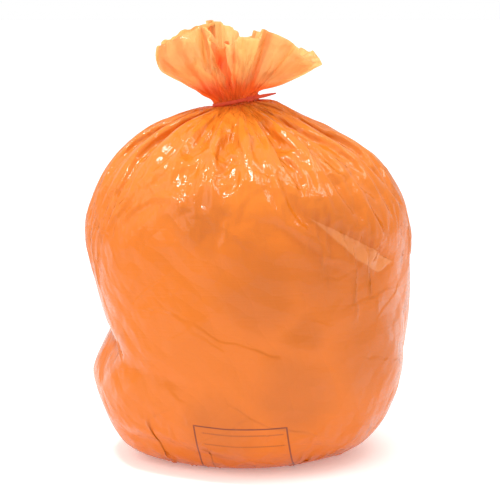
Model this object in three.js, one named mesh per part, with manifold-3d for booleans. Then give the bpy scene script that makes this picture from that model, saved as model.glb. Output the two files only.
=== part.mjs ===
// A filled plastic waste sack, its neck gathered and closed with a cable tie.
// Millimetres, +Z up, front facing -Y, origin under the middle of the whole part.
import * as THREE from "three";
import { mergeVertices } from "three/addons/utils/BufferGeometryUtils.js";
import Module from "manifold-3d";

const wasm = await Module();
wasm.setup();

// Sizes of the filled sack.
const bellyWidth = 446;
const bellyDepth = 428;
const bellyHeight = 296;
const footWidth = 216;
const footDepth = 206;
const footShift = -9;
const sideFullness = 4;
const shoulderFlare = 1.75;
const shoulderFullness = 0.535;
const shoulderUneven = -0.03;
const shoulderSag = 18;
const sagPower = 7;
const sagOnLeft = 0.3;
const cornerShare = 0.3;

// Creases where the film is slack and drawn in over the filling, the deepest a tuck on the left side.
// Each runs between two points, given as a turn from the front in degrees, to the right, and a height.
const creases = [
  { from: [-128, 190], to: [-62, 160], depth: 28, above: 125, below: 60 },
  { from: [-84, 170], to: [-22, 128], depth: 7, above: 30, below: 40 },
  { from: [20, 350], to: [58, 284], depth: 9, above: 10, below: 55 },
  { from: [64, 170], to: [92, 140], depth: 3, above: 40, below: 30 },
  { from: [-62, 52], to: [4, 16], depth: 6, above: 16, below: 30 },
  { from: [-48, 345], to: [-18, 395], depth: 6, above: 40, below: 25 },
  { from: [118, 150], to: [170, 215], depth: 8, above: 40, below: 50 },
  { from: [-168, 330], to: [-128, 262], depth: 8, above: 30, below: 60 },
  { from: [-150, 110], to: [-118, 160], depth: 9, above: 35, below: 50 },
  { from: [126, 345], to: [150, 280], depth: 6, above: 40, below: 40 },
];
const creaseReach = 220;
const creaseSharpness = 1.3;
const creaseFadeIn = 0.25;
const creaseFadeLength = 0.45;
const creaseFloorFade = 30;

// Gathered neck: a flattened bundle, leaning up towards +X.
const neckWidth = 62;
const neckDepth = 26;
const neckHeight = 482;
const neckLength = 8;
const neckTilt = 11.8;
const neckShift = -16;

// Pleats that run down the shoulder from the tie: how many go round, their depth, where they start
// and how far they sway, both in radians.
const pleats = [
  { count: 9, depth: 3, turn: 0.6, sway: 1.2 },
  { count: 14, depth: 3.5, turn: 2, sway: -0.9 },
  { count: 23, depth: 2.5, turn: 4.4, sway: 0.7 },
];
const pleatRise = 70;
const pleatStart = 0.15;
const pleatFadeDown = 1.3;
const pleatFadeUp = 6;

// The loose ruffle of film above the tie.
const ruffleLength = 106;
const ruffleUneven = 10;
const ruffleSideLean = 51;
const ruffleFrontLean = 32;
const ruffleSweep = 3;
const ruffleLobes = 4;
const ruffleLobeLean = 10;
const ruffleLobeTurn = 0.3;
const ruffleFolds = 12;
const ruffleFoldDepth = 4;
const ruffleWall = 3;
const ruffleBend = 3;
const ruffleCurlLeft = 108;
const ruffleCurlRight = 12;
const curlStart = 0.57;

// Notches and peaks of the rim: the turn from the front in degrees, how many degrees further out the film
// leans there, and over what width in radians.
const ruffleDips = [
  { turn: -13, lean: 9, width: 0.12 },
  { turn: -62, lean: 6, width: 0.3 },
  { turn: -90, lean: 4, width: 0.6 },
  { turn: -122, lean: -13, width: 0.3 },
  { turn: -172, lean: -7, width: 0.12 },
  { turn: 40, lean: 5, width: 0.3 },
  { turn: 130, lean: 10, width: 0.5 },
];

// Cable tie: a strap through its own locking head, with the spare end left on.
const strapWidth = 4.8;
const strapThickness = 1.4;
const tieClearance = 0.3;
const headLength = 8;
const headHeight = 7.4;
const headDepth = 5.4;
const headCorner = 1;
const headShift = 19;
const tailLength = 36;
const tailTipWidth = 1.8;
const tailTaper = 16;

const around = 120;
const cornerRows = 7;
const sideRows = 8;
const shoulderRows = 12;
const ruffleRows = 7;
const bendSteps = 24;

const radians = THREE.MathUtils.degToRad;
const lerp = THREE.MathUtils.lerp;
const smooth = (x) => THREE.MathUtils.smoothstep(x, 0, 1);

// Distance from the middle of an ellipse to its edge, in the direction of an angle.
function ellipseReach(angle, halfWidth, halfDepth) {
  return 1 / Math.hypot(Math.cos(angle) / halfWidth, Math.sin(angle) / halfDepth);
}

// The same for the neck's outline: two half rounds joined by flats, grown outwards by an offset.
function neckReach(angle, offset) {
  const round = neckDepth / 2 + offset;
  const flat = (neckWidth - neckDepth) / 2;
  const along = Math.abs(Math.cos(angle));
  const across = Math.abs(Math.sin(angle));
  if (round * along <= flat * across) return round / across;
  return flat * along + Math.sqrt(round * round - flat * flat * across * across);
}

const polar = (angle, reach, z) => new THREE.Vector3(Math.cos(angle) * reach, Math.sin(angle) * reach, z);

// A point of the tilted neck, at a distance along the neck's own axis from the middle of the tie.
const neckFrame = new THREE.Matrix4()
  .makeTranslation(neckShift, 0, neckHeight)
  .multiply(new THREE.Matrix4().makeRotationY(-radians(neckTilt)));
const neckPoint = (angle, lift) => polar(angle, neckReach(angle, 0), lift).applyMatrix4(neckFrame);

const footPoint = (angle) =>
  polar(angle, ellipseReach(angle, footWidth / 2, footDepth / 2), 0).add(new THREE.Vector3(footShift, 0, 0));
const bellyPoint = (angle) => polar(angle, ellipseReach(angle, bellyWidth / 2, bellyDepth / 2), bellyHeight);

// How far an angle is past a place given as a turn from the front, in degrees to the right.
function angleBeside(angle, turn) {
  const past = angle + Math.PI / 2 - radians(turn) + Math.PI;
  return THREE.MathUtils.euclideanModulo(past, 2 * Math.PI) - Math.PI;
}

// How far one crease draws in the film, sharp along its line and fading to both sides and past its ends.
function creaseDepth({ from, to, depth, above, below }, angle, height) {
  const middleTurn = (from[0] + to[0]) / 2;
  const start = new THREE.Vector2(radians(from[0] - middleTurn) * creaseReach, from[1]);
  const way = new THREE.Vector2(radians(to[0] - middleTurn) * creaseReach, to[1]).sub(start);
  const length = way.length();
  way.normalize();
  const point = new THREE.Vector2(angleBeside(angle, middleTurn) * creaseReach, height).sub(start);
  const along = point.dot(way) / length;
  const off = way.cross(point);
  const near = Math.max(1 - Math.abs(off) / (off > 0 ? above : below), 0);
  const fadeIn = smooth((along + creaseFadeIn) / creaseFadeLength);
  const fadeOut = smooth((1 + creaseFadeIn - along) / creaseFadeLength);
  return depth * near ** creaseSharpness * fadeIn * fadeOut;
}

function drawIn(point, angle) {
  const total = creases.reduce((sum, crease) => sum + creaseDepth(crease, angle, point.z), 0);
  return point.sub(polar(angle, total * smooth(point.z / creaseFloorFade), 0));
}

// Side of the sack from the foot (share 0) to the belly (share 1).
function sidePoint(angle, share) {
  const foot = footPoint(angle);
  const belly = bellyPoint(angle);
  const spread = Math.sqrt(1 - (1 - share) ** sideFullness);
  const x = lerp(foot.x, belly.x, spread);
  const y = lerp(foot.y, belly.y, spread);
  return drawIn(new THREE.Vector3(x, y, share * bellyHeight), angle);
}

// Shoulder from the belly (share 0) to the underside of the tie (share 1), with its pleats.
function shoulderPoint(angle, share) {
  const belly = bellyPoint(angle);
  const neck = neckPoint(angle, -neckLength / 2);
  const fullness = shoulderFullness - shoulderUneven * Math.cos(angle);
  const spread = (1 - share ** shoulderFlare) ** fullness;
  const sagShare = share ** sagPower * (1 - share) * (sagPower + 1) * (1 + 1 / sagPower) ** sagPower;
  const sag = shoulderSag * sagShare * lerp(sagOnLeft, 1, ((1 + Math.cos(angle)) / 2) ** 2);
  const x = lerp(neck.x, belly.x, spread);
  const y = lerp(neck.y, belly.y, spread);
  const point = drawIn(new THREE.Vector3(x, y, lerp(belly.z, neck.z, share) - sag), angle);
  const fade = smooth((share - pleatStart) * pleatFadeDown) * smooth((1 - share) * pleatFadeUp);
  const wave = ({ count, depth, turn, sway }) => depth * Math.cos(count * angle + turn + sway * share);
  const pleat = fade * pleats.reduce((sum, each) => sum + wave(each), 0);
  const rise = radians(pleatRise * share);
  return point.add(polar(angle, pleat * Math.cos(rise), pleat * Math.sin(rise)));
}

// Ruffle: each line of film leaves the neck upwards, leans out over its bend, and curls up again at the sides.
// The share runs from 0 at the neck to 1 at the rim.
function rufflePoint(angle, share, inset) {
  const side = Math.cos(angle);
  const lobe = ruffleLobeLean * Math.cos(ruffleLobes * angle + ruffleLobeTurn);
  const dip = ({ turn, lean, width }) => lean * Math.exp(-((angleBeside(angle, turn) / width) ** 2));
  const dips = ruffleDips.reduce((sum, each) => sum + dip(each), 0);
  const lean = radians(lerp(ruffleFrontLean, ruffleSideLean, side ** 2) + lobe + ruffleSweep * side + dips);
  const curl = radians(ruffleCurlLeft * smooth(-side) ** 2 + ruffleCurlRight * smooth(side) ** 2);
  const length = ruffleLength - ruffleUneven * side;
  const point = polar(angle, neckReach(angle, 0) - inset, neckLength / 2).applyMatrix4(neckFrame);
  for (let i = 0; i < bendSteps; i++) {
    const at = ((i + 0.5) / bendSteps) * share;
    const rise = curl * smooth((at - curlStart) / (1 - curlStart));
    const turned = lean * smooth((at * length) / ruffleBend) - rise;
    point.add(polar(angle, Math.sin(turned), Math.cos(turned)).multiplyScalar((share * length) / bendSteps));
  }
  const fold = ruffleFoldDepth * Math.sin(ruffleFolds * angle) * smooth(share);
  return point.add(polar(angle, fold, 0));
}

// Closes a stack of rings, each a function of the angle, between a first and a last middle point.
function loft(first, rings, last) {
  const positions = [...first.toArray()];
  for (const ring of rings) {
    for (let i = 0; i < around; i++) positions.push(...ring((i / around) * 2 * Math.PI).toArray());
  }
  positions.push(...last.toArray());
  const at = (row, i) => 1 + row * around + (i % around);
  const end = positions.length / 3 - 1;
  const faces = [];
  for (let i = 0; i < around; i++) {
    faces.push(0, at(0, i + 1), at(0, i));
    for (let row = 0; row + 1 < rings.length; row++) {
      faces.push(at(row, i), at(row, i + 1), at(row + 1, i + 1));
      faces.push(at(row, i), at(row + 1, i + 1), at(row + 1, i));
    }
    faces.push(end, at(rings.length - 1, i), at(rings.length - 1, i + 1));
  }
  const geometry = new THREE.BufferGeometry();
  geometry.setAttribute("position", new THREE.Float32BufferAttribute(positions, 3));
  geometry.setIndex(faces);
  return geometry;
}

function sackGeometry() {
  const rings = [(angle) => footPoint(angle)];
  for (let i = 1; i <= cornerRows; i++) {
    rings.push((angle) => sidePoint(angle, cornerShare * (i / cornerRows) ** 2));
  }
  for (let i = 1; i <= sideRows; i++) {
    rings.push((angle) => sidePoint(angle, lerp(cornerShare, 1, i / sideRows)));
  }
  for (let i = 1; i <= shoulderRows; i++) {
    rings.push((angle) => shoulderPoint(angle, Math.sin(((i / shoulderRows) * Math.PI) / 2)));
  }
  for (let i = 0; i <= ruffleRows; i++) {
    rings.push((angle) => rufflePoint(angle, i / ruffleRows, 0));
  }
  for (let i = ruffleRows; i >= 1; i--) {
    rings.push((angle) => rufflePoint(angle, i / ruffleRows, ruffleWall));
  }
  const underFoot = new THREE.Vector3(footShift, 0, 0);
  const insideNeck = new THREE.Vector3(0, 0, neckLength).applyMatrix4(neckFrame);
  return loft(underFoot, rings, insideNeck);
}

// Turns a geometry into a solid that can be joined with others.
function solidOf(geometry) {
  const bare = geometry.clone();
  bare.deleteAttribute("normal");
  bare.deleteAttribute("uv");
  const merged = mergeVertices(bare, 1e-4);
  return new wasm.Manifold(
    new wasm.Mesh({
      numProp: 3,
      vertProperties: merged.attributes.position.array,
      triVerts: new Uint32Array(merged.index.array),
    }),
  );
}

function geometryOf(solid) {
  const mesh = solid.getMesh();
  const geometry = new THREE.BufferGeometry();
  geometry.setAttribute("position", new THREE.BufferAttribute(new Float32Array(mesh.vertProperties), 3));
  geometry.setIndex(new THREE.BufferAttribute(new Uint32Array(mesh.triVerts), 1));
  return geometry.toNonIndexed();
}

const strapInside = tieClearance;
const strapOutside = tieClearance + strapThickness;
const strapFront = -(neckDepth / 2 + (strapInside + strapOutside) / 2);

// Strap loop around the neck, its width along the neck's axis.
function loopGeometry() {
  const outline = (offset) =>
    Array.from({ length: around }, (_, i) => {
      const angle = (i / around) * 2 * Math.PI;
      const reach = neckReach(angle, offset);
      return new THREE.Vector2(Math.cos(angle) * reach, Math.sin(angle) * reach);
    });
  const shape = new THREE.Shape(outline(strapOutside));
  shape.holes.push(new THREE.Path(outline(strapInside)));
  const band = new THREE.ExtrudeGeometry(shape, { depth: strapWidth, bevelEnabled: false });
  return band.translate(0, 0, -strapWidth / 2);
}

// Spare end of the strap: straight out of the head, its last stretch tapered to a narrow tip.
function tailGeometry() {
  const shape = new THREE.Shape();
  shape.moveTo(0, -strapWidth / 2);
  shape.lineTo(tailLength - tailTaper, -strapWidth / 2);
  shape.lineTo(tailLength, -tailTipWidth / 2);
  shape.lineTo(tailLength, tailTipWidth / 2);
  shape.lineTo(tailLength - tailTaper, strapWidth / 2);
  shape.lineTo(0, strapWidth / 2);
  return new THREE.ExtrudeGeometry(shape, { depth: strapThickness, bevelEnabled: false })
    .rotateX(Math.PI / 2)
    .translate(headShift, strapFront + strapThickness / 2, 0);
}

// Locking head, a block with rounded corners that stands out from the loop.
function headGeometry() {
  const shape = new THREE.Shape();
  const halfLength = headLength / 2 - headCorner;
  const halfHeight = headHeight / 2 - headCorner;
  shape.absarc(halfLength, halfHeight, headCorner, 0, Math.PI / 2);
  shape.absarc(-halfLength, halfHeight, headCorner, Math.PI / 2, Math.PI);
  shape.absarc(-halfLength, -halfHeight, headCorner, Math.PI, Math.PI * 1.5);
  shape.absarc(halfLength, -halfHeight, headCorner, Math.PI * 1.5, Math.PI * 2);
  return new THREE.ExtrudeGeometry(shape, { depth: headDepth, bevelEnabled: false, curveSegments: 4 })
    .rotateX(Math.PI / 2)
    .translate(headShift, -(neckDepth / 2 + strapInside), 0);
}

function tieGeometry() {
  const parts = [loopGeometry(), headGeometry(), tailGeometry()].map(solidOf);
  const joined = parts.reduce((whole, part) => whole.add(part));
  return geometryOf(joined);
}

const filmMaterial = new THREE.MeshStandardMaterial({ color: 0xf58435, roughness: 0.28, metalness: 0 });
const tieMaterial = new THREE.MeshStandardMaterial({ color: 0xd9482b, roughness: 0.4, metalness: 0 });

const sack = new THREE.Mesh(sackGeometry(), filmMaterial);
sack.name = "sack";

const cableTie = new THREE.Mesh(tieGeometry(), tieMaterial);
cableTie.name = "cable_tie";
cableTie.position.set(neckShift, 0, neckHeight);
cableTie.rotation.y = -radians(neckTilt);

const part = new THREE.Group();
part.add(sack, cableTie);

// The origin goes under the middle of the whole part.
const whole = new THREE.Box3().setFromObject(part, true);
const middle = whole.getCenter(new THREE.Vector3());
part.position.set(-middle.x, -middle.y, 0);

export default part;
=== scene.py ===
import math

import bmesh
import bpy
import numpy as np
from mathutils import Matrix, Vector


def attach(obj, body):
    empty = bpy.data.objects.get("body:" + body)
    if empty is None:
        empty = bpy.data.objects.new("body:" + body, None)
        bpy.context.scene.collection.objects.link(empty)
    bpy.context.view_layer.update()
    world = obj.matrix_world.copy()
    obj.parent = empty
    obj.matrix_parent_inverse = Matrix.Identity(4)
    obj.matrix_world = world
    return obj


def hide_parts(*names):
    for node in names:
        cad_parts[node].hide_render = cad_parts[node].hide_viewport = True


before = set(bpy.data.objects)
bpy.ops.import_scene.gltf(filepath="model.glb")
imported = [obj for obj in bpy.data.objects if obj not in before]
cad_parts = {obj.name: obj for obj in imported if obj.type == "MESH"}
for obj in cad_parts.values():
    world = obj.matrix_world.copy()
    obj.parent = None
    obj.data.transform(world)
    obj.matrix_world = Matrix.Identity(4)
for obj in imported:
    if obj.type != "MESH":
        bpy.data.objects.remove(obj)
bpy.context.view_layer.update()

random = np.random.default_rng(11)

# the filled sack, with the sizes of its solid in the frame, in metres
sackSettings = {
    "bellyWidth": 0.446, "bellyDepth": 0.428, "bellyHeight": 0.296,
    "footWidth": 0.216, "footDepth": 0.206, "footShift": -0.009,
    "sideFullness": 4, "shoulderFlare": 1.75, "shoulderFullness": 0.535, "shoulderUneven": -0.03,
    "shoulderSag": 0.018, "sagPower": 7, "sagOnLeft": 0.3,
    "neckWidth": 0.062, "neckDepth": 0.026, "neckHeight": 0.482, "neckLength": 0.008,
    "neckTilt": 11.8, "neckShift": -0.016,
    "ruffleLength": 0.106, "ruffleSideLean": 51, "ruffleFrontLean": 32, "ruffleSweep": 3,
    "ruffleLobes": 4, "ruffleLobeLean": 10, "ruffleLobeTurn": 0.3, "ruffleBend": 0.003,
}

# the larger pleats of the shoulder: how many go round, how deep, where they start and how far they sway
pleatSettings = {
    "waves": ((9, 0.003, 0.6, 1.2), (14, 0.0035, 2, -0.9), (23, 0.0025, 4.4, 0.7)),
    "rise": 70, "start": 0.15, "fadeDown": 1.3, "fadeUp": 6,
}

# how the film is laid out as a grid: columns run up the sack, rows run round it
gridSettings = {
    "columns": 384, "bodyRows": 160, "baseRows": 8, "neckRows": 2, "ruffleRows": 26, "plugRows": 3,
    "filmGirth": 1.422, "wall": 0.0007, "gatherFrom": 1.2, "gatherLength": 6, "leastGirth": 0.1,
    "footGather": 0.3, "underFoot": -0.1,
}


def smooth(x):
    x = np.clip(x, 0, 1)
    return x * x * (3 - 2 * x)


def mix(a, b, share):
    return a + (b - a) * share


def polar(angle, reach, height):
    return np.stack(np.broadcast_arrays(np.cos(angle) * reach, np.sin(angle) * reach, height), -1)


def ellipseReach(angle, halfWidth, halfDepth):
    return 1 / np.hypot(np.cos(angle) / halfWidth, np.sin(angle) / halfDepth)


def neckReach(angle, offset=0.0):
    # two half rounds joined by flats
    s = sackSettings
    bend = s["neckDepth"] / 2 + offset
    flat = (s["neckWidth"] - s["neckDepth"]) / 2
    along, across = np.abs(np.cos(angle)), np.abs(np.sin(angle))
    sides = bend / np.maximum(across, 1e-6)
    ends = flat * along + np.sqrt(np.maximum(bend * bend - (flat * across) ** 2, 0))
    return np.where(bend * along <= flat * across, sides, ends)


def neckFrame(points):
    # from the neck's own axes to the frame
    s = sackSettings
    tilt = math.radians(s["neckTilt"])
    x, y, z = points[..., 0], points[..., 1], points[..., 2]
    return np.stack([
        x * math.cos(tilt) - z * math.sin(tilt) + s["neckShift"],
        y,
        x * math.sin(tilt) + z * math.cos(tilt) + s["neckHeight"],
    ], -1)


def neckRing(angle, lift, offset=0.0):
    return neckFrame(polar(angle, neckReach(angle) + offset, lift))


def footRing(angle):
    s = sackSettings
    ring = polar(angle, ellipseReach(angle, s["footWidth"] / 2, s["footDepth"] / 2), 0.0)
    return ring + np.array([s["footShift"], 0, 0])


def bellyRing(angle):
    s = sackSettings
    return polar(angle, ellipseReach(angle, s["bellyWidth"] / 2, s["bellyDepth"] / 2), s["bellyHeight"])


def sideSurface(angle, share):
    s = sackSettings
    foot, belly = footRing(angle), bellyRing(angle)
    spread = np.sqrt(np.maximum(1 - (1 - share) ** s["sideFullness"], 0))[..., None]
    points = mix(foot, belly, spread)
    points[..., 2] = share * s["bellyHeight"]
    return points


def shoulderSurface(angle, share):
    s = sackSettings
    belly, neck = bellyRing(angle), neckRing(angle, -s["neckLength"] / 2)
    fullness = s["shoulderFullness"] - s["shoulderUneven"] * np.cos(angle)
    spread = ((1 - share ** s["shoulderFlare"]) ** fullness)[..., None]
    points = mix(neck, belly, spread)
    power = s["sagPower"]
    sagShare = share ** power * (1 - share) * (power + 1) * (1 + 1 / power) ** power
    sag = s["shoulderSag"] * sagShare * mix(s["sagOnLeft"], 1, (0.5 + 0.5 * np.cos(angle)) ** 2)
    points[..., 2] = mix(belly[..., 2], neck[..., 2], share) - sag
    p = pleatSettings
    pleat = 0
    for count, depth, turn, sway in p["waves"]:
        pleat = pleat + depth * np.cos(count * angle + turn + sway * share)
    pleat = pleat * smooth((share - p["start"]) * p["fadeDown"]) * smooth((1 - share) * p["fadeUp"])
    rise = np.radians(p["rise"] * share)
    return points + polar(angle, pleat * np.cos(rise), pleat * np.sin(rise))


def evenRows(path, rows):
    # puts the points of each column at even distances along its path
    steps = np.linalg.norm(np.diff(path, axis=0), axis=-1)
    run = np.vstack([np.zeros((1, path.shape[1])), np.cumsum(steps, 0)])
    made = np.empty((rows + 1, path.shape[1], 3))
    for column in range(path.shape[1]):
        at = np.linspace(0, run[-1, column], rows + 1)
        for axis in range(3):
            made[:, column, axis] = np.interp(at, run[:, column], path[:, column, axis])
    return made


def angles(columns):
    return np.arange(columns) / columns * 2 * np.pi


def beside(angle, place):
    # how far an angle is past a place that is given as a turn from the front, in degrees to the right
    return (angle + np.pi / 2 - math.radians(place) + np.pi) % (2 * np.pi) - np.pi


# creases where the film is drawn in, and the width of the flap that lies folded below some of them:
# from and to are a turn from the front in degrees, to the right, and a height
creaseSettings = [
    {"from": (-128, 0.190), "to": (-62, 0.160), "depth": 0.028, "above": 0.125, "below": 0.060},
    {"from": (-84, 0.170), "to": (-22, 0.128), "depth": 0.007, "above": 0.030, "below": 0.040},
    {"from": (20, 0.350), "to": (58, 0.284), "depth": 0.009, "above": 0.010, "below": 0.055,
     "flap": 0.026},
    {"from": (64, 0.170), "to": (92, 0.140), "depth": 0.003, "above": 0.040, "below": 0.030},
    {"from": (-62, 0.052), "to": (4, 0.016), "depth": 0.006, "above": 0.016, "below": 0.030},
    {"from": (-48, 0.345), "to": (-18, 0.395), "depth": 0.006, "above": 0.040, "below": 0.025},
    {"from": (118, 0.150), "to": (170, 0.215), "depth": 0.008, "above": 0.040, "below": 0.050},
    {"from": (-168, 0.330), "to": (-128, 0.262), "depth": 0.008, "above": 0.030, "below": 0.060,
     "flap": 0.022},
    {"from": (-150, 0.110), "to": (-118, 0.160), "depth": 0.009, "above": 0.035, "below": 0.050},
    {"from": (126, 0.345), "to": (150, 0.280), "depth": 0.006, "above": 0.040, "below": 0.040,
     "flap": 0.018},
]

# how every crease is shaped: girth is the mean radius that turns an angle into a length along the film
creaseShape = {"girth": 0.22, "fadeIn": 0.25, "fadeLength": 0.45, "sharpness": 1.3, "floorFade": 0.03}


def creases(angle, height):
    # how far the creases draw the film in, sharp along their lines and fading to both sides
    shape = creaseShape
    girth = shape["girth"]
    total = 0
    for c in creaseSettings:
        start, end = ((math.radians(turn) * girth, rise) for turn, rise in (c["from"], c["to"]))
        way = np.array(end) - start
        length = np.linalg.norm(way)
        way /= length
        turn = beside(angle, (c["from"][0] + c["to"][0]) / 2)
        across = turn * girth + (start[0] + end[0]) / 2 - start[0]
        up = height - start[1]
        along = (across * way[0] + up * way[1]) / length
        off = up * way[0] - across * way[1]
        near = 1 - np.abs(off) / np.where(off > 0, c["above"], c["below"])
        fade = smooth((along + shape["fadeIn"]) / shape["fadeLength"])
        fade = fade * smooth((1 + shape["fadeIn"] - along) / shape["fadeLength"])
        total = total + c["depth"] * np.clip(near, 0, 1) ** shape["sharpness"] * fade
    return total


def bodyTarget(columns, rows):
    # the outer form of the filled body, from the foot to the tie
    angle = angles(columns)[None, :]
    fine = 240
    low = (np.linspace(0, 1, fine) ** 2)[:, None]
    high = np.sin(np.linspace(0, 1, fine) * np.pi / 2)[1:, None]
    side = sideSurface(angle + 0 * low, low + 0 * angle)
    shoulder = shoulderSurface(angle + 0 * high, high + 0 * angle)
    form = evenRows(np.concatenate([side, shoulder]), rows)
    angle = angle + np.zeros((rows + 1, 1))
    height = form[..., 2]
    return form - polar(angle, creases(angle, height) * smooth(height / creaseShape["floorFade"]), 0.0)


def outward(points):
    # unit normals of a grid that is closed round its columns
    around = np.roll(points, -1, 1) - np.roll(points, 1, 1)
    along = np.gradient(points, axis=0)
    normal = np.cross(around, along)
    return normal / np.maximum(np.linalg.norm(normal, axis=-1, keepdims=True), 1e-12)


def finer(grid, rows, columns):
    # a grid of offsets with twice the rows and columns
    at = np.linspace(0, grid.shape[0] - 1, rows + 1)
    low = np.minimum(at.astype(int), grid.shape[0] - 2)
    part = (at - low)[:, None, None]
    tall = mix(grid[low], grid[low + 1], part)
    wide = np.empty((rows + 1, columns, grid.shape[2]))
    wide[:, 0::2] = tall
    wide[:, 1::2] = (tall + np.roll(tall, -1, 1)) / 2
    return wide


def linksOf(rows, columns, restAround, restAlong, stiff):
    # pairs of points that the film keeps at their distance, in groups that share no point
    index = np.arange(rows * columns).reshape(rows, columns)
    links = []

    def add(first, second, rest, hold, push):
        links.append((first.ravel(), second.ravel(), rest.ravel().astype(np.float32)[:, None], hold, push))

    for start in (0, 1):
        pick = np.arange(start, columns, 2)
        add(index[:, pick], index[:, (pick + 1) % columns], restAround[:, pick], 1.0, stiff["push"])
        pick = np.arange(start, rows - 1, 2)
        add(index[pick], index[pick + 1], restAlong[pick], 1.0, stiff["push"])
        slope = np.hypot(restAround[pick], restAlong[pick])
        add(index[pick], np.roll(index[pick + 1], -1, 1), slope, stiff["shear"], stiff["shear"])
        add(index[pick], np.roll(index[pick + 1], 1, 1), slope, stiff["shear"], stiff["shear"])
    for start in (0, 2):
        pick = np.arange(columns).reshape(-1, 4)[:, start:start + 2].ravel()
        add(index[:, pick], index[:, (pick + 2) % columns], 2 * restAround[:, pick], 0.0, stiff["bend"])
        pick = np.array([row for row in range(rows - 2) if row % 4 in (start, start + 1)])
        add(index[pick], index[pick + 2], 2 * restAlong[pick], 0.0, stiff["bend"])
    return links


def relax(points, target, normal, links, low, high, pinned, steps, press, damping):
    # position based cloth: the film keeps its lengths, and stays between the contents and its cap
    shape = points.shape
    here = points.reshape(-1, 3).astype(np.float32)
    base = target.reshape(-1, 3).astype(np.float32)
    out = normal.reshape(-1, 3).astype(np.float32)
    low, high = low.ravel().astype(np.float32), high.ravel().astype(np.float32)
    held = np.broadcast_to(pinned[:, None], shape[:2]).ravel()
    fixed = here[held].copy()
    push = out * press.ravel().astype(np.float32)[:, None]
    before = here.copy()
    for _ in range(steps):
        speed = (here - before) * damping
        before = here.copy()
        here += speed + push
        for first, second, rest, hold, squeeze in links:
            a, b = here[first], here[second]
            gap = b - a
            length = np.sqrt(np.einsum("ij,ij->i", gap, gap))[:, None] + 1e-9
            over = length - rest
            gap *= np.where(over > 0, hold, squeeze) * 0.5 * over / length
            here[first] = a + gap
            here[second] = b - gap
        off = np.einsum("ij,ij->i", here - base, out)
        here += out * (np.clip(off, low, high) - off)[:, None]
        here[held] = fixed
    return here.reshape(shape).astype(float)


def waves(angle, counts, sizes, drift, share):
    # pleats that wander a little as they run up the film
    pace = 2.5
    total = 0
    for count, size in zip(counts, sizes):
        turn = random.uniform(0, 2 * np.pi)
        sway = random.uniform(-drift, drift)
        bend = random.uniform(0, 2 * np.pi)
        total = total + size * np.cos(count * angle + turn + sway * np.sin(pace * share + bend))
    return total


def lumps(points, size, seed):
    # the uneven contents: flat sides between edges, as a sum of folded planes, from -1 to 1
    dice = np.random.default_rng(seed)
    planes, widest, closest = 5, 0.7, 1.5
    total = 0
    for _ in range(planes):
        way = dice.normal(size=3)
        way *= dice.uniform(widest, closest) / size / np.linalg.norm(way)
        total = total + 4 * np.abs((points @ way + dice.uniform(0, 1)) % 1 - 0.5) - 1
    return total / planes


# how the film of the body is relaxed over its contents: a press below 0 pulls it in on them, slack is the
# share of film to spare, and in and out are how far it may leave the sack's form
bodySettings = {
    "steps": (240, 170, 130), "press": (-0.00006, -0.00005, -0.00004), "damping": 0.9,
    "stiff": ({"push": 0.9, "shear": 0.15, "bend": 0.02}, {"push": 0.9, "shear": 0.15, "bend": 0.012},
              {"push": 0.9, "shear": 0.12, "bend": 0.006}),
    "slackShare": (0.6, 0.9, 1.25), "bellySlack": 0.012, "shoulderSlack": 0.035, "neckSlack": 0.32,
    "footSlack": 0.05, "alongBelly": 0.003, "alongShoulder": 0.005,
    "lumpSize": 0.16, "lumpHeight": 0.008, "lumpSeed": 5,
    "inBelly": 0.001, "inNeck": 0.0045, "outBelly": 0.0045, "outNeck": 0.004,
    "crownFrom": 0.36, "crownLength": 0.62, "crownUneven": 0.05,
    "crownWaves": ((2, 1.0, 1), (3, 2.6, 1), (7, 0, 0.7)),
    "neckPower": 4, "footShare": 0.3, "fadeFoot": 0.12, "fadeNeck": 0.04, "pressFade": 3,
    "noise": (0.003, 0.0015, 0.0008),
    "pleatCounts": (31, 41), "pleatSizes": (0.002, 0.0015), "pleatDrift": 0.8,
}


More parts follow.
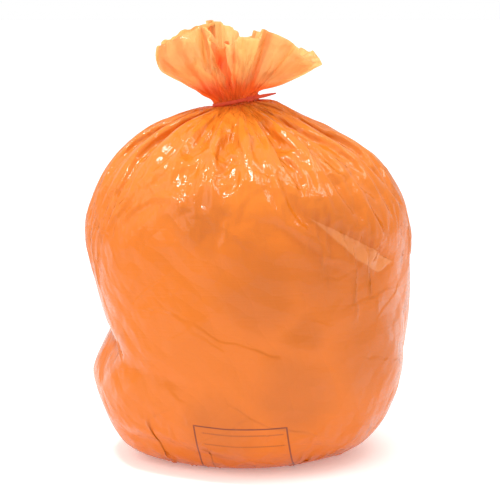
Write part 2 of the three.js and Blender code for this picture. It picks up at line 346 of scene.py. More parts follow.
def relaxedBody():
    s, g = bodySettings, gridSettings
    offset = None
    for level, part in enumerate((4, 2, 1)):
        columns, rows = g["columns"] // part, g["bodyRows"] // part
        target = bodyTarget(columns, rows)
        normal = outward(target)
        angle = angles(columns)[None, :] + np.zeros((rows + 1, 1))
        share = np.linspace(0, 1, rows + 1)[:, None] + 0 * angle
        steps = np.linalg.norm(np.roll(target, -1, 1) - target, axis=-1)
        girth = steps.sum(1, keepdims=True)
        uneven = sum(size * np.cos(count * angle + turn) for count, turn, size in s["crownWaves"])
        reach = s["crownUneven"] * uneven
        crown = smooth((share - s["crownFrom"] + reach) / (s["crownLength"] + reach))
        slack = s["bellySlack"] + s["shoulderSlack"] * crown + s["neckSlack"] * crown ** s["neckPower"]
        slack = slack + s["footSlack"] * smooth(1 - share / s["footShare"])
        slack = np.minimum(slack * s["slackShare"][level], g["filmGirth"] / girth - 1)
        restAround = steps * (1 + slack)
        restAlong = np.linalg.norm(np.diff(target, axis=0), axis=-1)
        restAlong = np.vstack([restAlong, restAlong[-1:]])
        restAlong = restAlong * (1 + mix(s["alongBelly"], s["alongShoulder"], crown) * s["slackShare"][level])
        bumps = s["lumpHeight"] * lumps(target, s["lumpSize"], s["lumpSeed"])
        fade = smooth(share / s["fadeFoot"]) * smooth((1 - share) / s["fadeNeck"])
        low = (bumps * (1 - crown) - mix(s["inBelly"], s["inNeck"], crown)) * fade
        high = mix(s["outBelly"], s["outNeck"], crown) * fade
        if offset is None:
            pleats = waves(angle, s["pleatCounts"], s["pleatSizes"], s["pleatDrift"], share)
            start = target + normal * (pleats * crown * fade)[..., None]
        else:
            start = target + finer(offset, rows, columns)
        jitter = random.normal(size=(rows + 1, columns)) * s["noise"][level]
        start = start + normal * (jitter * fade)[..., None]
        pinned = np.zeros(rows + 1, bool)
        pinned[[0, -1]] = True
        press = s["press"][level] * (1 - smooth(crown * s["pressFade"]))
        links = linksOf(rows + 1, columns, restAround, restAlong, s["stiff"][level])
        made = relax(start, target, normal, links, low, high, pinned, s["steps"][level], press, s["damping"])
        offset = made - target
        print("body film relaxed at", columns, "columns")
    return made


# the loose film above the tie: lobes lean it out all round, dips lean it out at one turn, folds draw it in,
# and the rest is how it is relaxed
ruffleSettings = {
    "lobes": ((3, 3, 1.0), (7, 4, 2.1), (11, 2, 0.4)), "longerLeft": 0.010,
    "curlLeft": 108, "curlRight": 12, "curlStart": 0.57, "bendSteps": 24,
    "dips": ((-13, 9, 0.12), (-62, 6, 0.3), (-90, 4, 0.6), (-122, -13, 0.3), (-172, -7, 0.12), (40, 5, 0.3),
             (130, 10, 0.5)),
    "folds": ((-16, 0.010, 0.10), (62, 0.006, 0.10), (150, 0.010, 0.12), (-120, 0.008, 0.14)),
    "foldOnset": 1.6,
    "steps": (200, 140, 90), "damping": 0.9,
    "stiff": ({"push": 0.9, "shear": 0.2, "bend": 0.05}, {"push": 0.9, "shear": 0.2, "bend": 0.04},
              {"push": 0.9, "shear": 0.2, "bend": 0.03}),
    "slackShare": (0.4, 0.85, 1.25), "slack": 0.24, "slackOnset": 1.3, "alongSlack": 0.014, "reach": 0.012,
    "reachAtNeck": 0.0002, "noise": (0.002, 0.001, 0.0006),
    "waveCounts": (3, 5, 8, 13), "waveSizes": (0.004, 0.006, 0.005, 0.003), "waveDrift": 0.8, "fewestRows": 6,
}


def ruffleTarget(columns, rows):
    s, r = sackSettings, ruffleSettings
    angle = angles(columns)[None, :] + np.zeros((rows + 1, 1))
    share = np.linspace(0, 1, rows + 1)[:, None] + 0 * angle
    side = np.cos(angle)
    lean = mix(s["ruffleFrontLean"], s["ruffleSideLean"], side ** 2) + s["ruffleSweep"] * side
    lean = lean + s["ruffleLobeLean"] * np.cos(s["ruffleLobes"] * angle + s["ruffleLobeTurn"])
    for count, size, turn in r["lobes"]:
        lean = lean + size * np.cos(count * angle + turn)
    for place, size, width in r["dips"]:
        lean = lean + size * np.exp(-(beside(angle, place) / width) ** 2)
    length = s["ruffleLength"] - r["longerLeft"] * side
    curl = r["curlLeft"] * smooth(-side) ** 2 + r["curlRight"] * smooth(side) ** 2
    points = neckRing(angle, s["neckLength"] / 2)
    for i in range(r["bendSteps"]):
        at = (i + 0.5) / r["bendSteps"] * share
        curled = curl * smooth((at - r["curlStart"]) / (1 - r["curlStart"]))
        turned = lean * smooth(at * length / s["ruffleBend"]) - curled
        turned = np.radians(turned)
        step = share * length / r["bendSteps"]
        points = points + polar(angle, np.sin(turned), np.cos(turned)) * step[..., None]
    for place, size, width in r["folds"]:
        drawn = size * np.exp(-(beside(angle, place) / width) ** 2) * smooth(share * r["foldOnset"])
        points = points - polar(angle, drawn, 0.0)
    return points


def relaxedRuffle():
    s, g = ruffleSettings, gridSettings
    offset = None
    ruffleRows = g["ruffleRows"] // 2 * 2
    for level, part in enumerate((4, 2, 1)):
        columns, rows = g["columns"] // part, max(ruffleRows // part, s["fewestRows"])
        target = ruffleTarget(columns, rows)
        normal = outward(target)
        angle = angles(columns)[None, :] + np.zeros((rows + 1, 1))
        share = np.linspace(0, 1, rows + 1)[:, None] + 0 * angle
        steps = np.linalg.norm(np.roll(target, -1, 1) - target, axis=-1)
        restAround = steps * (1 + s["slack"] * smooth(share * s["slackOnset"]) * s["slackShare"][level])
        restAlong = np.linalg.norm(np.diff(target, axis=0), axis=-1)
        restAlong = np.vstack([restAlong, restAlong[-1:]]) * (1 + s["alongSlack"] * s["slackShare"][level])
        high = s["reach"] * share + s["reachAtNeck"]
        if offset is None:
            folds = waves(angle, s["waveCounts"], s["waveSizes"], s["waveDrift"], share)
            start = target + normal * (folds * share)[..., None]
        else:
            start = target + finer(offset, rows, columns)
        start = start + normal * (random.normal(size=share.shape) * s["noise"][level] * share)[..., None]
        pinned = np.zeros(rows + 1, bool)
        pinned[0] = True
        links = linksOf(rows + 1, columns, restAround, restAlong, s["stiff"][level])
        steps, press = s["steps"][level], 0 * share
        made = relax(start, target, normal, links, -high, high, pinned, steps, press, s["damping"])
        offset = made - target
        print("ruffle relaxed at", columns, "columns")
    return made


def closedGrid(name, rings, first, last):
    # one closed mesh from a stack of rings between two middle points
    columns = rings.shape[1]
    points = np.concatenate([[first], rings.reshape(-1, 3), [last]])
    at = 1 + np.arange(rings.shape[0] * columns).reshape(rings.shape[0], columns)
    after = np.roll(at, -1, 1)
    quads = np.stack([at[:-1], after[:-1], after[1:], at[1:]], -1).reshape(-1, 4)
    end = len(points) - 1
    capLow = np.stack([np.zeros(columns, int), after[0], at[0]], -1)
    capHigh = np.stack([np.full(columns, end), at[-1], after[-1]], -1)
    mesh = bpy.data.meshes.new(name)
    mesh.from_pydata(points.tolist(), [], quads.tolist() + capLow.tolist() + capHigh.tolist())
    mesh.validate()
    mesh.shade_smooth()
    made = bpy.data.objects.new(name, mesh)
    bpy.context.collection.objects.link(made)
    return made


def keepOnPoints(piece, name, values):
    # a number or a vector on each point, for the material to read
    kind = "FLOAT_VECTOR" if values.ndim == 2 else "FLOAT"
    layer = piece.data.attributes.new(name, kind, "POINT")
    layer.data.foreach_set("vector" if values.ndim == 2 else "value", values.astype(np.float32).ravel())


# what is painted darker on the film: partly the contents showing through where it lies on them, partly
# painted shade; each patch is a middle and a reach, in metres
contentsAndShadeSettings = {
    "patches": (
        ((0.115, -0.17, 0.278), 0.085), ((0.02, -0.21, 0.262), 0.060), ((0.165, -0.13, 0.175), 0.070),
        ((0.075, -0.20, 0.200), 0.030), ((0.06, -0.20, 0.110), 0.055), ((-0.158, -0.13, 0.168), 0.014),
        ((-0.06, -0.20, 0.345), 0.040), ((-0.19, 0.10, 0.240), 0.080), ((0.02, 0.20, 0.180), 0.090),
        ((-0.04, -0.20, 0.060), 0.050), ((0.18, 0.10, 0.320), 0.070), ((-0.08, 0.19, 0.330), 0.050),
        ((-0.15, 0.14, 0.090), 0.060),
    ),
    "bend": 0.022, "bendSize": 0.09, "bendSeeds": (21, 22, 23), "core": 0.35, "edge": 1.1,
}


def contentsAndShadeBehind(points):
    c = contentsAndShadeSettings
    uneven = np.stack([lumps(points, c["bendSize"], seed) for seed in c["bendSeeds"]], -1)
    bent = points + c["bend"] * uneven
    total = 0
    for place, reach in c["patches"]:
        off = np.linalg.norm(bent - place, axis=-1) / reach
        total = np.maximum(total, 1 - smooth((off - c["core"]) / c["edge"]))
    return total


def makeFilm():
    s, g = sackSettings, gridSettings
    body, ruffle = relaxedBody(), relaxedRuffle()
    angle = angles(g["columns"])
    middle = np.array([s["footShift"], 0, 0])
    base = np.array([mix(middle, body[0], share) for share in np.linspace(0, 1, g["baseRows"] + 1)[1:-1]])
    lifts = np.linspace(-s["neckLength"] / 2, s["neckLength"] / 2, g["neckRows"] + 1)[1:-1]
    neck = np.array([neckRing(angle, lift) for lift in lifts])
    inner = (ruffle - outward(ruffle) * g["wall"])[::-1]
    plugMiddle = neckFrame(np.array([0, 0, s["neckLength"]]))
    shares = np.linspace(0, 1, g["plugRows"] + 2)[1:-1]
    plug = np.array([mix(inner[-1], plugMiddle, share) for share in shares])
    outside = np.concatenate([base, body, neck, ruffle])
    rings = np.concatenate([outside, inner, plug])
    film = closedGrid("film", rings, middle, plugMiddle)

    # where each point lies on the film's own cylinder, before it was filled
    steps = np.linalg.norm(np.diff(outside, axis=0), axis=-1).mean(1)
    run = np.concatenate([[0], np.cumsum(steps)]) - steps[:len(base)].sum()
    run = np.concatenate([run, run[::-1][:len(inner)], np.full(len(plug), run[len(base) + len(body)])])
    radius = g["filmGirth"] / (2 * np.pi)
    place = polar(angle[None, :], radius, run[:, None]).reshape(-1, 3)
    ends = np.array([[0, 0, g["underFoot"]]]), np.array([[0, 0, run[-1]]])
    keepOnPoints(film, "filmPlace", np.concatenate([ends[0], place, ends[1]]))

    # how many layers of film are gathered, 0 where it is spread and 1 at the tie
    girth = np.linalg.norm(np.roll(rings, -1, 1) - rings, axis=-1).sum(1)
    layers = g["filmGirth"] / np.maximum(girth, g["leastGirth"])
    gather = np.repeat(smooth((layers - g["gatherFrom"]) / g["gatherLength"]), g["columns"])
    keepOnPoints(film, "gather", np.concatenate([[g["footGather"]], gather, [1.0]]))
    thin = np.concatenate([np.zeros(len(base) + len(body)), np.ones(len(rings) - len(base) - len(body))])
    keepOnPoints(film, "thin", np.concatenate([[0], np.repeat(thin, g["columns"]), [1]]))
    points = np.concatenate([[middle], rings.reshape(-1, 3), [plugMiddle]])
    # darker patches painted on the film: partly the contents showing through, partly painted shade
    keepOnPoints(film, "contentsAndShade", contentsAndShadeBehind(points))
    print("film closed with", len(film.data.polygons), "faces")
    return film


class Wire:
    # a value inside a material: sums and products of wires add the nodes that work them out
    def __init__(self, tree, output=None):
        self.tree, self.output = tree, output

    def node(self, kind, settings=None, inputs=None, output=0):
        made = self.tree.nodes.new(kind)
        for name, value in (settings or {}).items():
            setattr(made, name, value)
        for name, value in (inputs or {}).items():
            if isinstance(value, Wire):
                self.tree.links.new(value.output, made.inputs[name])
            else:
                made.inputs[name].default_value = value
        return Wire(self.tree, made.outputs[output] if made.outputs else None)

    def part(self, vector, axis):
        return self.node("ShaderNodeSeparateXYZ", inputs={0: vector}, output=axis)

    def kept(self, name, output="Fac"):
        # what was kept on the points under a name
        return self.node("ShaderNodeAttribute", {"attribute_name": name}, output=output)

    def noise(self, vector, scale, detail, output="Fac"):
        return self.node("ShaderNodeTexNoise", inputs={"Vector": vector, "Scale": scale, "Detail": detail},
                         output=output)

    def mapped(self, vector, **settings):
        # a vector scaled or moved before a pattern reads it
        return self.node("ShaderNodeMapping", inputs={"Vector": vector, **settings})

    def maths(self, operation, *others):
        return self.node("ShaderNodeMath", {"operation": operation}, dict(enumerate((self, *others))))

    def __add__(self, other):
        return self.maths("ADD", other)

    def __sub__(self, other):
        return self.maths("SUBTRACT", other)

    def __rsub__(self, other):
        return self.node("ShaderNodeMath", {"operation": "SUBTRACT"}, {0: other, 1: self})

    def __mul__(self, other):
        return self.maths("MULTIPLY", other)

    __radd__, __rmul__ = __add__, __mul__

    def ramp(self, low, high):
        # 0 below low, 1 above high, and smooth between them
        settings = {"interpolation_type": "SMOOTHSTEP"}
        return self.node("ShaderNodeMapRange", settings, {"Value": self, "From Min": low, "From Max": high})

    def tint(self, dark, light):
        # from one colour to another as the value goes from 0 to 1
        colours = {6: dark, 7: light}
        colours = {key: value if isinstance(value, Wire) else (*value, 1) for key, value in colours.items()}
        return self.node("ShaderNodeMix", {"data_type": "RGBA"}, {0: self, **colours}, 2)


def newMaterial(name):
    made = bpy.data.materials.new(name)
    made.use_nodes = True
    made.node_tree.nodes.clear()
    return made, Wire(made.node_tree)


# the film's colours are linear, its sizes in metres
filmSettings = {
    # upper is a paler orange painted high on the body as painted light, where the shoulder is lit from above
    "orange": (0.76, 0.190, 0.010), "upper": (0.84, 0.245, 0.024), "deep": (0.92, 0.17, 0.035),
    # pale is the loose film's colour painted paler, as painted light shining through the thin film
    "paleLitThrough": (0.98, 0.65, 0.27), "contentsAndShade": (0.58, 0.150, 0.012), "contentsAndShadeShare": 0.7,
    # the contents colour just above is a darker orange: partly the contents showing through, partly painted
    # shade
    "ink": (0.10, 0.02, 0.015), "glowThrough": (1.0, 0.79, 0.47), "ember": (1.0, 0.43, 0.17),
    "upperFrom": 0.30, "upperTo": 0.44, "deepFrom": 0.35, "unevenScale": 22.0, "uneven": (0.6, 1.4),
    "mottleScale": 24.0, "looseGather": 0.8, "looseMottle": 0.25, "looseLayers": 0.4,
    "looseRange": (0.12, 0.95), "layerScale": 30.0, "layerRange": (0.45, 0.68),
    "glowGather": 1.3, "glowLayers": 0.25, "roughness": (0.065, 0.225), "roughScale": 14.0,
    "refraction": 1.45, "bodyThrough": 0.22, "ruffleThrough": 0.7,
}

# a plain ruled panel near the foot, with dotted lines to write on: sizes in metres
panelSettings = {
    "middle": (0.0050, 0.040), "half": (0.0600, 0.086), "lean": 0.12, "line": 0.0008, "fade": 0.0004,
    "dotted": (0.116, 0.097), "dotPitch": 0.0026, "dotRange": (-0.2, 0.4), "dottedFrom": -0.046,
    "dottedTo": 0.060, "dark": 0.85, "front": (-0.05, -0.04),
}

# a lengthwise strip of the ruffle where the film is folded on itself, in metres on the film's own cylinder
stripSettings = {
    "middle": -0.062, "half": 0.034, "fade": 0.002, "front": (-0.05, -0.04), "colour": (0.95, 0.13, 0.035),
    "share": 0.8, "glowShare": 0.6,
}

# flaps of film folded over below some of the creases: they widen and end along the crease's own length. Their
# lighter colour is partly the folded film standing clear of the contents and partly a painted sheen
flapAndSheenSettings = {
    "colour": (0.88, 0.34, 0.11), "share": 0.55, "edge": 0.001, "fade": 0.004, "crinkle": 14,
    "widen": (-0.05, 0.75), "end": (0.9, 1.15),
}

# fine sharp creases: a soft rise and then a steep drop, along lines across a few ways, broken up by noise
fineCreaseSettings = {
    "ways": ((0.37, 0.1, 0.93), (-0.5, 0.4, 0.85), (0.2, -0.7, 0.7)), "period": 0.075, "height": 0.0012,
    "shift": 0.37, "riseFrom": 0.6, "crest": 0.94, "breakScale": 7.0, "breakFrom": 0.5, "breakTo": 0.64,
}

# the crinkles of the film: heights are shares of depth, and an upper value is added towards the shoulder
reliefSettings = {
    "depth": 0.0012, "upperFrom": 0.25, "upperTo": 0.48,
    "facets": (((0.9, 0.2, 0.45), 0.031), ((-0.6, 0.3, 0.75), 0.026), ((0.3, 0.9, -0.5), 0.037),
               ((0.5, -0.7, 1.1), 0.022)),
    "facetHeight": 38, "facetUpper": 20, "warpScale": 11.0, "warp": 0.04,
    "tinyStretch": (3.4, 3.4, 1.3), "tinyHeight": 8, "tinyUpper": 10, "tinyBreakScale": 9.0,
    "tinyBreak": (0.35, 0.6),
    "cellStretch": (1, 1, 0.5), "cellScale": 26.0, "cellEdge": 0.32, "cellHeight": 0.2, "cellUpper": 0.35,
    "smallScale": 60.0, "smallHeight": 0.3,
    "lineStretch": (0.6, 0.6, 40), "lineScale": 8.0, "lineHeight": 0.3,
    "pulledStretch": (1, 1, 0.07), "pulledScale": 95.0, "pulledUpper": 1.3, "pulledRuffle": 0.5,
}


def writeOnPanel(pen, place, inside):
    p = panelSettings
    y, z = pen.part(place, 1), pen.part(place, 2)
    x = pen.part(inside, 0) + z * p["lean"]
    wide = (x - p["middle"][0]).maths("ABSOLUTE") - p["half"][0]
    tall = (z - p["middle"][1]).maths("ABSOLUTE") - p["half"][1]
    edge = wide.maths("MAXIMUM", tall).maths("ABSOLUTE")
    ruled = 1 - edge.ramp(p["line"], p["line"] + p["fade"])
    dots = (x * (2 * math.pi / p["dotPitch"])).maths("SINE").ramp(*p["dotRange"])
    within = x.ramp(p["dottedFrom"], p["dottedFrom"] + p["fade"])
    within = within * (1 - x.ramp(p["dottedTo"], p["dottedTo"] + p["fade"]))
    for height in p["dotted"]:
        line = 1 - (z - height).maths("ABSOLUTE").ramp(p["line"], p["line"] + p["fade"])
        ruled = ruled.maths("MAXIMUM", line * dots * within)
    return ruled * (1 - y.ramp(*p["front"])) * p["dark"]


def foldedStrip(pen, place):
    f = stripSettings
    x, y = pen.part(place, 0), pen.part(place, 1)
    off = (x - f["middle"]).maths("ABSOLUTE")
    return (1 - off.ramp(f["half"], f["half"] + f["fade"])) * (1 - y.ramp(*f["front"]))


class FilmPlan:
    # the body laid flat as a turn and a height, to draw lines on
    def __init__(self, pen, inside):
        x, y, self.height = (pen.part(inside, axis) for axis in range(3))
        self.turn = x.maths("ARCTAN2", y * -1)

    def fromLine(self, start, end):
        # share along a line, and distance below it
        girth = creaseShape["girth"]
        start, end = (Vector((math.radians(turn) * girth, height)) for turn, height in (start, end))
        way = (end - start).normalized()
        across, up = self.turn * girth - start.x, self.height - start.y
        along = (across * way.x + up * way.y) * (1 / (end - start).length)
        return along, across * way.y - up * way.x


def flapsAndSheen(plan):
    # where the film lies folded over itself below a crease, and stands clear of the contents; the colour
    # paints it lighter there, partly as a painted sheen
    f = flapAndSheenSettings
    total = 0
    for c in creaseSettings:
        if "flap" in c:
            along, below = plan.fromLine(c["from"], c["to"])
            wide = along.ramp(*f["widen"]) * (1 - along.ramp(*f["end"])) * c["flap"]
            total = below.ramp(-f["edge"], f["edge"]) * (wide - below).ramp(0.0, f["fade"]) + total
    return total


def fineCreases(pen, place):
    c = fineCreaseSettings
    total = 0
    for i, way in enumerate(c["ways"]):
        run = pen.node("ShaderNodeVectorMath", {"operation": "DOT_PRODUCT"}, {0: place, 1: way}, "Value")
        saw = (run * (1 / c["period"]) + c["shift"] * i).maths("FRACT")
        broken = pen.noise(pen.mapped(place, Location=(i, 0, 0)), c["breakScale"], 1.0)
        broken = broken.ramp(c["breakFrom"], c["breakTo"])
        total = saw.ramp(c["riseFrom"], c["crest"]) * (1 - saw.ramp(c["crest"], 1.0)) * broken + total
    return total


def crumpled(pen, place):
    # flat facets between sharp creases: folded sheets of a few directions laid on each other
    total = 0
    for way, step in reliefSettings["facets"]:
        run = pen.node("ShaderNodeVectorMath", {"operation": "DOT_PRODUCT"}, {0: place, 1: way}, "Value")
        total = total + run.maths("PINGPONG", step)
    return total


def filmRelief(pen, place, strips, thin, folds):
    # creases between flat facets, drawn out up the film, and faint lines across it from its making
    r = reliefSettings
    upper = pen.part(place, 2).ramp(r["upperFrom"], r["upperTo"])
    warp = pen.noise(place, r["warpScale"], 2.0, "Color")
    amount = {0: warp, 1: (r["warp"],) * 3, 2: place}
    bent = pen.node("ShaderNodeVectorMath", {"operation": "MULTIPLY_ADD"}, amount)
    drawn = pen.mapped(bent, Scale=r["cellStretch"])
    cellInputs = {"Vector": drawn, "Scale": r["cellScale"]}
    cells = pen.node("ShaderNodeTexVoronoi", {"feature": "DISTANCE_TO_EDGE"}, cellInputs)
    cells = cells.ramp(0.0, r["cellEdge"])
    small = pen.noise(drawn, r["smallScale"], 3.0)
    lines = pen.noise(pen.mapped(place, Scale=r["lineStretch"]), r["lineScale"], 2.0)
    folded = crumpled(pen, bent) * (upper * r["facetUpper"] + r["facetHeight"])
    tiny = crumpled(pen, pen.mapped(bent, Scale=r["tinyStretch"]))
    tiny = tiny * pen.noise(place, r["tinyBreakScale"], 2.0).ramp(*r["tinyBreak"])
    pulled = pen.noise(strips, r["pulledScale"], 3.0)
    relief = cells * (upper * r["cellUpper"] + r["cellHeight"]) + folded
    relief = relief + tiny * (upper * r["tinyUpper"] + r["tinyHeight"])
    relief = relief + small * r["smallHeight"] + lines * r["lineHeight"]
    relief = relief + pulled * (upper * r["pulledUpper"] + thin * r["pulledRuffle"])
    relief = relief + folds * tiny * flapAndSheenSettings["crinkle"]
    fine = fineCreases(pen, bent) * (1 - thin) * (fineCreaseSettings["height"] / r["depth"])
    return relief + fine


def filmColour(pen, place, inside, thin, gather, layers, folds, strip):
    # orange, painted paler high up as painted light, darker where the contents show through and as painted
    # shade, lighter on the flaps as a painted sheen, and redder where many layers are gathered
    m = filmSettings
    least, most = m["uneven"]
    uneven = pen.noise(inside, m["unevenScale"], 4.0)
    # darker patches: partly the contents showing through, partly painted shade
    patches = pen.kept("contentsAndShade") * (uneven * (most - least) + least) * (1 - thin)
    # a paler orange painted towards the top: painted light
    orange = pen.part(inside, 2).ramp(m["upperFrom"], m["upperTo"]).tint(m["orange"], m["upper"])
    orange = gather.ramp(m["deepFrom"], 1.0).tint(orange, m["deep"])
    body = (patches * m["contentsAndShadeShare"]).tint(orange, m["contentsAndShade"])
    # flaps painted lighter: partly the folded film, partly a painted sheen
    body = (folds * flapAndSheenSettings["share"]).tint(body, flapAndSheenSettings["colour"])
    body = (gather * gather * layers).tint(body, m["deep"])
    mottle = pen.noise(place, m["mottleScale"], 4.0)
    loose = gather * gather * m["looseGather"] + mottle * m["looseMottle"] + layers * m["looseLayers"]
    # the loose film above the tie is painted pale, as painted light shining through it, and redder where
    # layers gather
    loose = loose.ramp(*m["looseRange"]).tint(m["paleLitThrough"], m["deep"])
    loose = (strip * stripSettings["share"]).tint(loose, stripSettings["colour"])
    return writeOnPanel(pen, place, inside).tint(thin.tint(body, loose), m["ink"])


def sackFilm():
    m = filmSettings
    made, pen = newMaterial("sackFilm")
    place = pen.kept("filmPlace", "Vector")
    gather, thin = pen.kept("gather"), pen.kept("thin")
    inside = pen.node("ShaderNodeTexCoord", output="Object")
    strips = pen.mapped(place, Scale=reliefSettings["pulledStretch"])
    layers = pen.noise(strips, m["layerScale"], 3.0).ramp(*m["layerRange"])
    folds, strip = flapsAndSheen(FilmPlan(pen, inside)), foldedStrip(pen, place)
    colour = filmColour(pen, place, inside, thin, gather, layers, folds, strip)
    relief = filmRelief(pen, place, strips, thin, folds)
    bumpInputs = {"Strength": 1.0, "Distance": reliefSettings["depth"], "Height": relief}
    bump = pen.node("ShaderNodeBump", inputs=bumpInputs)
    smoothest, roughest = m["roughness"]
    rough = pen.noise(place, m["roughScale"], 3.0) * (roughest - smoothest) + smoothest

    gloss = pen.node("ShaderNodeBsdfPrincipled", inputs={
        "Base Color": colour, "Roughness": rough, "Normal": bump, "IOR": m["refraction"]})
    glow = (gather * m["glowGather"] + layers * m["glowLayers"]).maths("MINIMUM", 1.0)
    glow = glow.tint(m["glowThrough"], m["ember"])
    glow = thin.tint(m["orange"], (strip * stripSettings["glowShare"]).tint(glow, m["ember"]))
    through = pen.node("ShaderNodeBsdfTranslucent", inputs={"Color": glow, "Normal": bump})
    share = thin * (m["ruffleThrough"] - m["bodyThrough"]) + m["bodyThrough"]
    both = pen.node("ShaderNodeMixShader", inputs={0: share, 1: gloss, 2: through})
    pen.node("ShaderNodeOutputMaterial", inputs={"Surface": both})
    return made


film = makeFilm()
film.data.materials.append(sackFilm())
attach(film, "root")
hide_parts("sack")

# the cable tie, in metres, in the neck's own axes
tieSettings = {
    "strapWidth": 0.0048, "strapThickness": 0.0014, "clearance": 0.0003, "corner": 0.0003, "around": 120,
    "headLength": 0.008, "headHeight": 0.0074, "headDepth": 0.0054, "headShift": 0.019, "headCorner": 0.0009,
    "windowInset": 0.0011, "windowBevel": 0.0002, "windowDepth": 0.0009,
    "tailLength": 0.036, "tailTipWidth": 0.0018, "tailTaper": 0.016, "straightSteps": 7, "taperSteps": 6,
    "toothPitch": 0.001, "toothSize": (0.00055, 0.0004, 0.0030), "toothTurn": 20, "smoothTip": 0.010,
    "sharpFrom": 40,
}


def strapSection(width, thickness):
    # outline of the strap with rounded edges, as (across the thickness, along the width)
    corner = min(tieSettings["corner"], width / 3)
    points = []
    for turn, (x, y) in enumerate(((1, 1), (-1, 1), (-1, -1), (1, -1))):
        for bend in (0, 45, 90):
            at = math.radians(turn * 90 + bend)
            points.append((x * (thickness / 2 - corner) + corner * math.cos(at),
                           y * (width / 2 - corner) + corner * math.sin(at)))
    return np.array(points)


def sweep(mesh, sections, closed):
    # skins a row of sections, and closes the row or its two ends
    rows = [[mesh.verts.new(point) for point in section] for section in sections]
    count = len(rows[0])
    pairs = list(zip(rows, rows[1:])) + ([(rows[-1], rows[0])] if closed else [])
    for low, high in pairs:
        for i in range(count):
            mesh.faces.new((low[i], low[(i + 1) % count], high[(i + 1) % count], high[i]))
    if not closed:
        mesh.faces.new(rows[0][::-1])
        mesh.faces.new(rows[-1])


def tieStrap(mesh):
    t = tieSettings
    section = strapSection(t["strapWidth"], t["strapThickness"])
    middle = t["clearance"] + t["strapThickness"] / 2
    loop = []
    for angle in angles(t["around"]):
        loop.append([polar(angle, neckReach(angle, middle + x), y) for x, y in section])
    sweep(mesh, loop, True)
    front = -(sackSettings["neckDepth"] / 2 + middle)
    end = t["headShift"] + t["tailLength"]
    tail = []
    straight = np.linspace(t["headShift"], end - t["tailTaper"], t["straightSteps"] + 1)
    tapered = np.linspace(end - t["tailTaper"], end, t["taperSteps"] + 1)[1:]
    for x in np.concatenate([straight, tapered]):
        taper = max(0, (x - end + t["tailTaper"]) / t["tailTaper"])
        width = mix(t["strapWidth"], t["tailTipWidth"], taper)
        tail.append([(x, front - across, up) for across, up in strapSection(width, t["strapThickness"])])
    sweep(mesh, tail, False)
    return front


def tieHead(mesh):
    # a block with rounded edges, and on its front the window that the strap's lock sits in
    t = tieSettings
    size = (t["headLength"], t["headDepth"], t["headHeight"])
    front = -(sackSettings["neckDepth"] / 2 + t["clearance"] + t["headDepth"] / 2)
    block = bmesh.ops.create_cube(mesh, size=1)["verts"]
    for v in block:
        v.co = Vector(a * b for a, b in zip(v.co, size)) + Vector((t["headShift"], front, 0))
    edges = list(dict.fromkeys(e for v in block for e in v.link_edges))
    bmesh.ops.bevel(mesh, geom=edges, offset=t["headCorner"], segments=3, profile=0.5, affect="EDGES")
    face = min((f for f in mesh.faces if f.normal.y < -0.99), key=lambda f: f.calc_center_median().y)
    bmesh.ops.inset_individual(mesh, faces=[face], thickness=t["windowInset"], depth=0)
    bmesh.ops.inset_individual(mesh, faces=[face], thickness=t["windowBevel"], depth=-t["windowDepth"])


def toothTree():
    # ratchet teeth: a row of small blocks, each turned a little
    tree = bpy.data.node_groups.new("ratchetTeeth", "GeometryNodeTree")
    tree.interface.new_socket("Geometry", in_out="INPUT", socket_type="NodeSocketGeometry")
    sockets = {}
    kinds = {"Count": "NodeSocketInt", "Start": "NodeSocketVector", "Step": "NodeSocketVector",
             "Size": "NodeSocketVector", "Turn": "NodeSocketVector", "Material": "NodeSocketMaterial"}
    for name, kind in kinds.items():
        sockets[name] = tree.interface.new_socket(name, in_out="INPUT", socket_type=kind).identifier
    tree.interface.new_socket("Geometry", in_out="OUTPUT", socket_type="NodeSocketGeometry")
    given, out = tree.nodes.new("NodeGroupInput"), tree.nodes.new("NodeGroupOutput")
    row = tree.nodes.new("GeometryNodeMeshLine")
    tooth = tree.nodes.new("GeometryNodeMeshCube")
    place = tree.nodes.new("GeometryNodeInstanceOnPoints")
    real = tree.nodes.new("GeometryNodeRealizeInstances")
    paint = tree.nodes.new("GeometryNodeSetMaterial")
    for start, end in (
        (given.outputs["Count"], row.inputs["Count"]), (given.outputs["Start"], row.inputs["Start Location"]),
        (given.outputs["Step"], row.inputs["Offset"]), (given.outputs["Size"], tooth.inputs["Size"]),
        (row.outputs["Mesh"], place.inputs["Points"]), (tooth.outputs["Mesh"], place.inputs["Instance"]),
        (given.outputs["Turn"], place.inputs["Rotation"]),
        (place.outputs["Instances"], real.inputs["Geometry"]),
        (real.outputs["Geometry"], paint.inputs["Geometry"]),
        (given.outputs["Material"], paint.inputs["Material"]),
        (paint.outputs["Geometry"], out.inputs["Geometry"]),
    ):
        tree.links.new(start, end)
    return tree, sockets


def tieTeeth(front, material):
    t = tieSettings
    tree, sockets = toothTree()
    holder = bpy.data.objects.new("teeth", bpy.data.meshes.new("teeth"))
    bpy.context.collection.objects.link(holder)
    maker = holder.modifiers.new("teeth", "NODES")
    maker.node_group = tree
    first = t["headShift"] + t["headLength"] / 2 + t["toothPitch"]
    length = t["tailLength"] - t["headLength"] / 2 - t["smoothTip"]
    values = {
        "Count": int(length / t["toothPitch"]), "Step": (t["toothPitch"], 0, 0),
        "Start": (first, front + t["strapThickness"] / 2, 0), "Size": t["toothSize"],
        "Turn": (0, 0, math.radians(t["toothTurn"])), "Material": material,
    }
    for name, value in values.items():
        maker[sockets[name]] = value
    graph = bpy.context.evaluated_depsgraph_get()
    mesh = bpy.data.meshes.new_from_object(holder.evaluated_get(graph))
    bpy.data.objects.remove(holder)
    return mesh


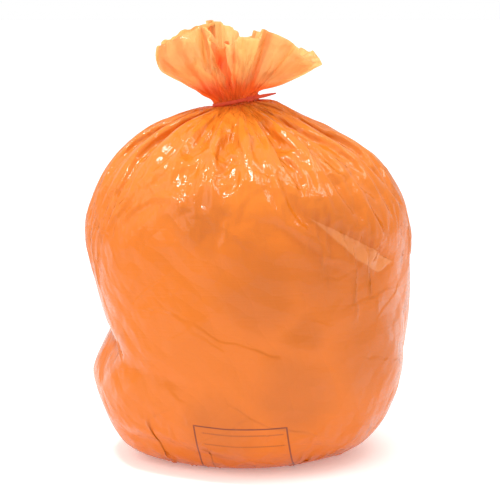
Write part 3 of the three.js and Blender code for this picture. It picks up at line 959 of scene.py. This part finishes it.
# the tie's nylon: faintly cloudy, with a fine grain
nylonSettings = {
    "dark": (0.60, 0.05, 0.012), "light": (0.72, 0.08, 0.02), "cloudScale": 90.0, "cloudRange": (0.3, 0.7),
    "roughness": (0.30, 0.42), "grainScale": 1400.0, "grainStrength": 0.25, "grainDepth": 0.0002,
    "refraction": 1.53, "shine": 0.25,
}


def tieNylon():
    n = nylonSettings
    made, pen = newMaterial("tieNylon")
    place = pen.node("ShaderNodeTexCoord", output="Object")
    cloudy = pen.noise(place, n["cloudScale"], 3.0)
    colour = cloudy.ramp(*n["cloudRange"]).tint(n["dark"], n["light"])
    smoothest, roughest = n["roughness"]
    rough = cloudy * (roughest - smoothest) + smoothest
    grain = pen.noise(place, n["grainScale"], 2.0)
    bump = pen.node("ShaderNodeBump", inputs={
        "Strength": n["grainStrength"], "Distance": n["grainDepth"], "Height": grain})
    nylon = pen.node("ShaderNodeBsdfPrincipled", inputs={
        "Base Color": colour, "Roughness": rough, "Normal": bump, "IOR": n["refraction"],
        "Specular IOR Level": n["shine"]})
    pen.node("ShaderNodeOutputMaterial", inputs={"Surface": nylon})
    return made


def makeTie():
    material = tieNylon()
    mesh = bmesh.new()
    front = tieStrap(mesh)
    tieHead(mesh)
    teeth = tieTeeth(front, material)
    mesh.from_mesh(teeth)
    bmesh.ops.recalc_face_normals(mesh, faces=mesh.faces)
    data = bpy.data.meshes.new("cableTie")
    mesh.to_mesh(data)
    mesh.free()
    for v in data.vertices:
        v.co = neckFrame(np.array(v.co))
    data.set_sharp_from_angle(angle=math.radians(tieSettings["sharpFrom"]))
    data.materials.append(material)
    made = bpy.data.objects.new("cableTie", data)
    bpy.context.collection.objects.link(made)
    print("cable tie made with", len(data.polygons), "faces")
    return made


tie = makeTie()
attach(tie, "root")
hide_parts("cable_tie")

# the camera at the photograph's angle
cameraSettings = {
    "distance": 2.6, "elevation": 8, "look": (0.0027, 0, 0.278), "metresPerPixel": 0.00137, "pixels": 500,
    "sensor": 36,
}


def makeCamera():
    c = cameraSettings
    rise = math.radians(c["elevation"])
    back = Vector((0, -math.cos(rise), math.sin(rise)))
    data = bpy.data.cameras.new("camera")
    data.sensor_width = c["sensor"]
    data.lens = c["sensor"] / c["pixels"] * c["distance"] / c["metresPerPixel"]
    made = bpy.data.objects.new("camera", data)
    made.location = Vector(c["look"]) + back * c["distance"]
    made.rotation_euler = back.to_track_quat("Z", "Y").to_euler()
    bpy.context.collection.objects.link(made)
    bpy.context.scene.camera = made


# the studio: the floor's own glow keeps it white, and a light has a place, an aim, a size and its watts
studioSettings = {
    "floorSide": 30, "floorColour": 0.985, "floorRoughness": 0.9, "floorGlow": 0.22, "world": 1.0,
    "lights": {
        "overLeft": ((-0.65, -0.25, 1.9), (0, 0, 0.4), (0.22, 0.22), 13),
        "overRight": ((0.6, -0.35, 1.8), (0, 0, 0.4), (0.45, 0.8), 8),
        "broadLeft": ((-1.9, -0.9, 1.6), (0, 0, 0.3), (1.6, 1.6), 10),
    },
}


def makeLight(name, place, aim, size, power):
    data = bpy.data.lights.new(name, "AREA")
    data.shape = "RECTANGLE"
    data.size, data.size_y = size
    data.energy = power
    made = bpy.data.objects.new(name, data)
    made.location = place
    made.rotation_euler = (Vector(place) - Vector(aim)).to_track_quat("Z", "Y").to_euler()
    bpy.context.collection.objects.link(made)


def makeFloor():
    s = studioSettings
    mesh = bpy.data.meshes.new("floor")
    side = s["floorSide"]
    corners = [(-side, -side, 0), (side, -side, 0), (side, side, 0), (-side, side, 0)]
    mesh.from_pydata(corners, [], [(0, 1, 2, 3)])
    made = bpy.data.objects.new("floor", mesh)
    paint = bpy.data.materials.new("paleFloor")
    paint.use_nodes = True
    shader = paint.node_tree.nodes["Principled BSDF"]
    shader.inputs["Base Color"].default_value = (*[s["floorColour"]] * 3, 1)
    shader.inputs["Roughness"].default_value = s["floorRoughness"]
    shader.inputs["Emission Color"].default_value = (1, 1, 1, 1)
    shader.inputs["Emission Strength"].default_value = s["floorGlow"]
    mesh.materials.append(paint)
    bpy.context.collection.objects.link(made)


def makeWorld():
    world = bpy.data.worlds.new("studio")
    world.use_nodes = True
    world.node_tree.nodes["Background"].inputs["Color"].default_value = (1, 1, 1, 1)
    world.node_tree.nodes["Background"].inputs["Strength"].default_value = studioSettings["world"]
    bpy.context.scene.world = world


makeCamera()
makeFloor()
makeWorld()
for name, values in studioSettings["lights"].items():
    makeLight(name, *values)
bpy.context.scene.view_settings.view_transform = "Standard"
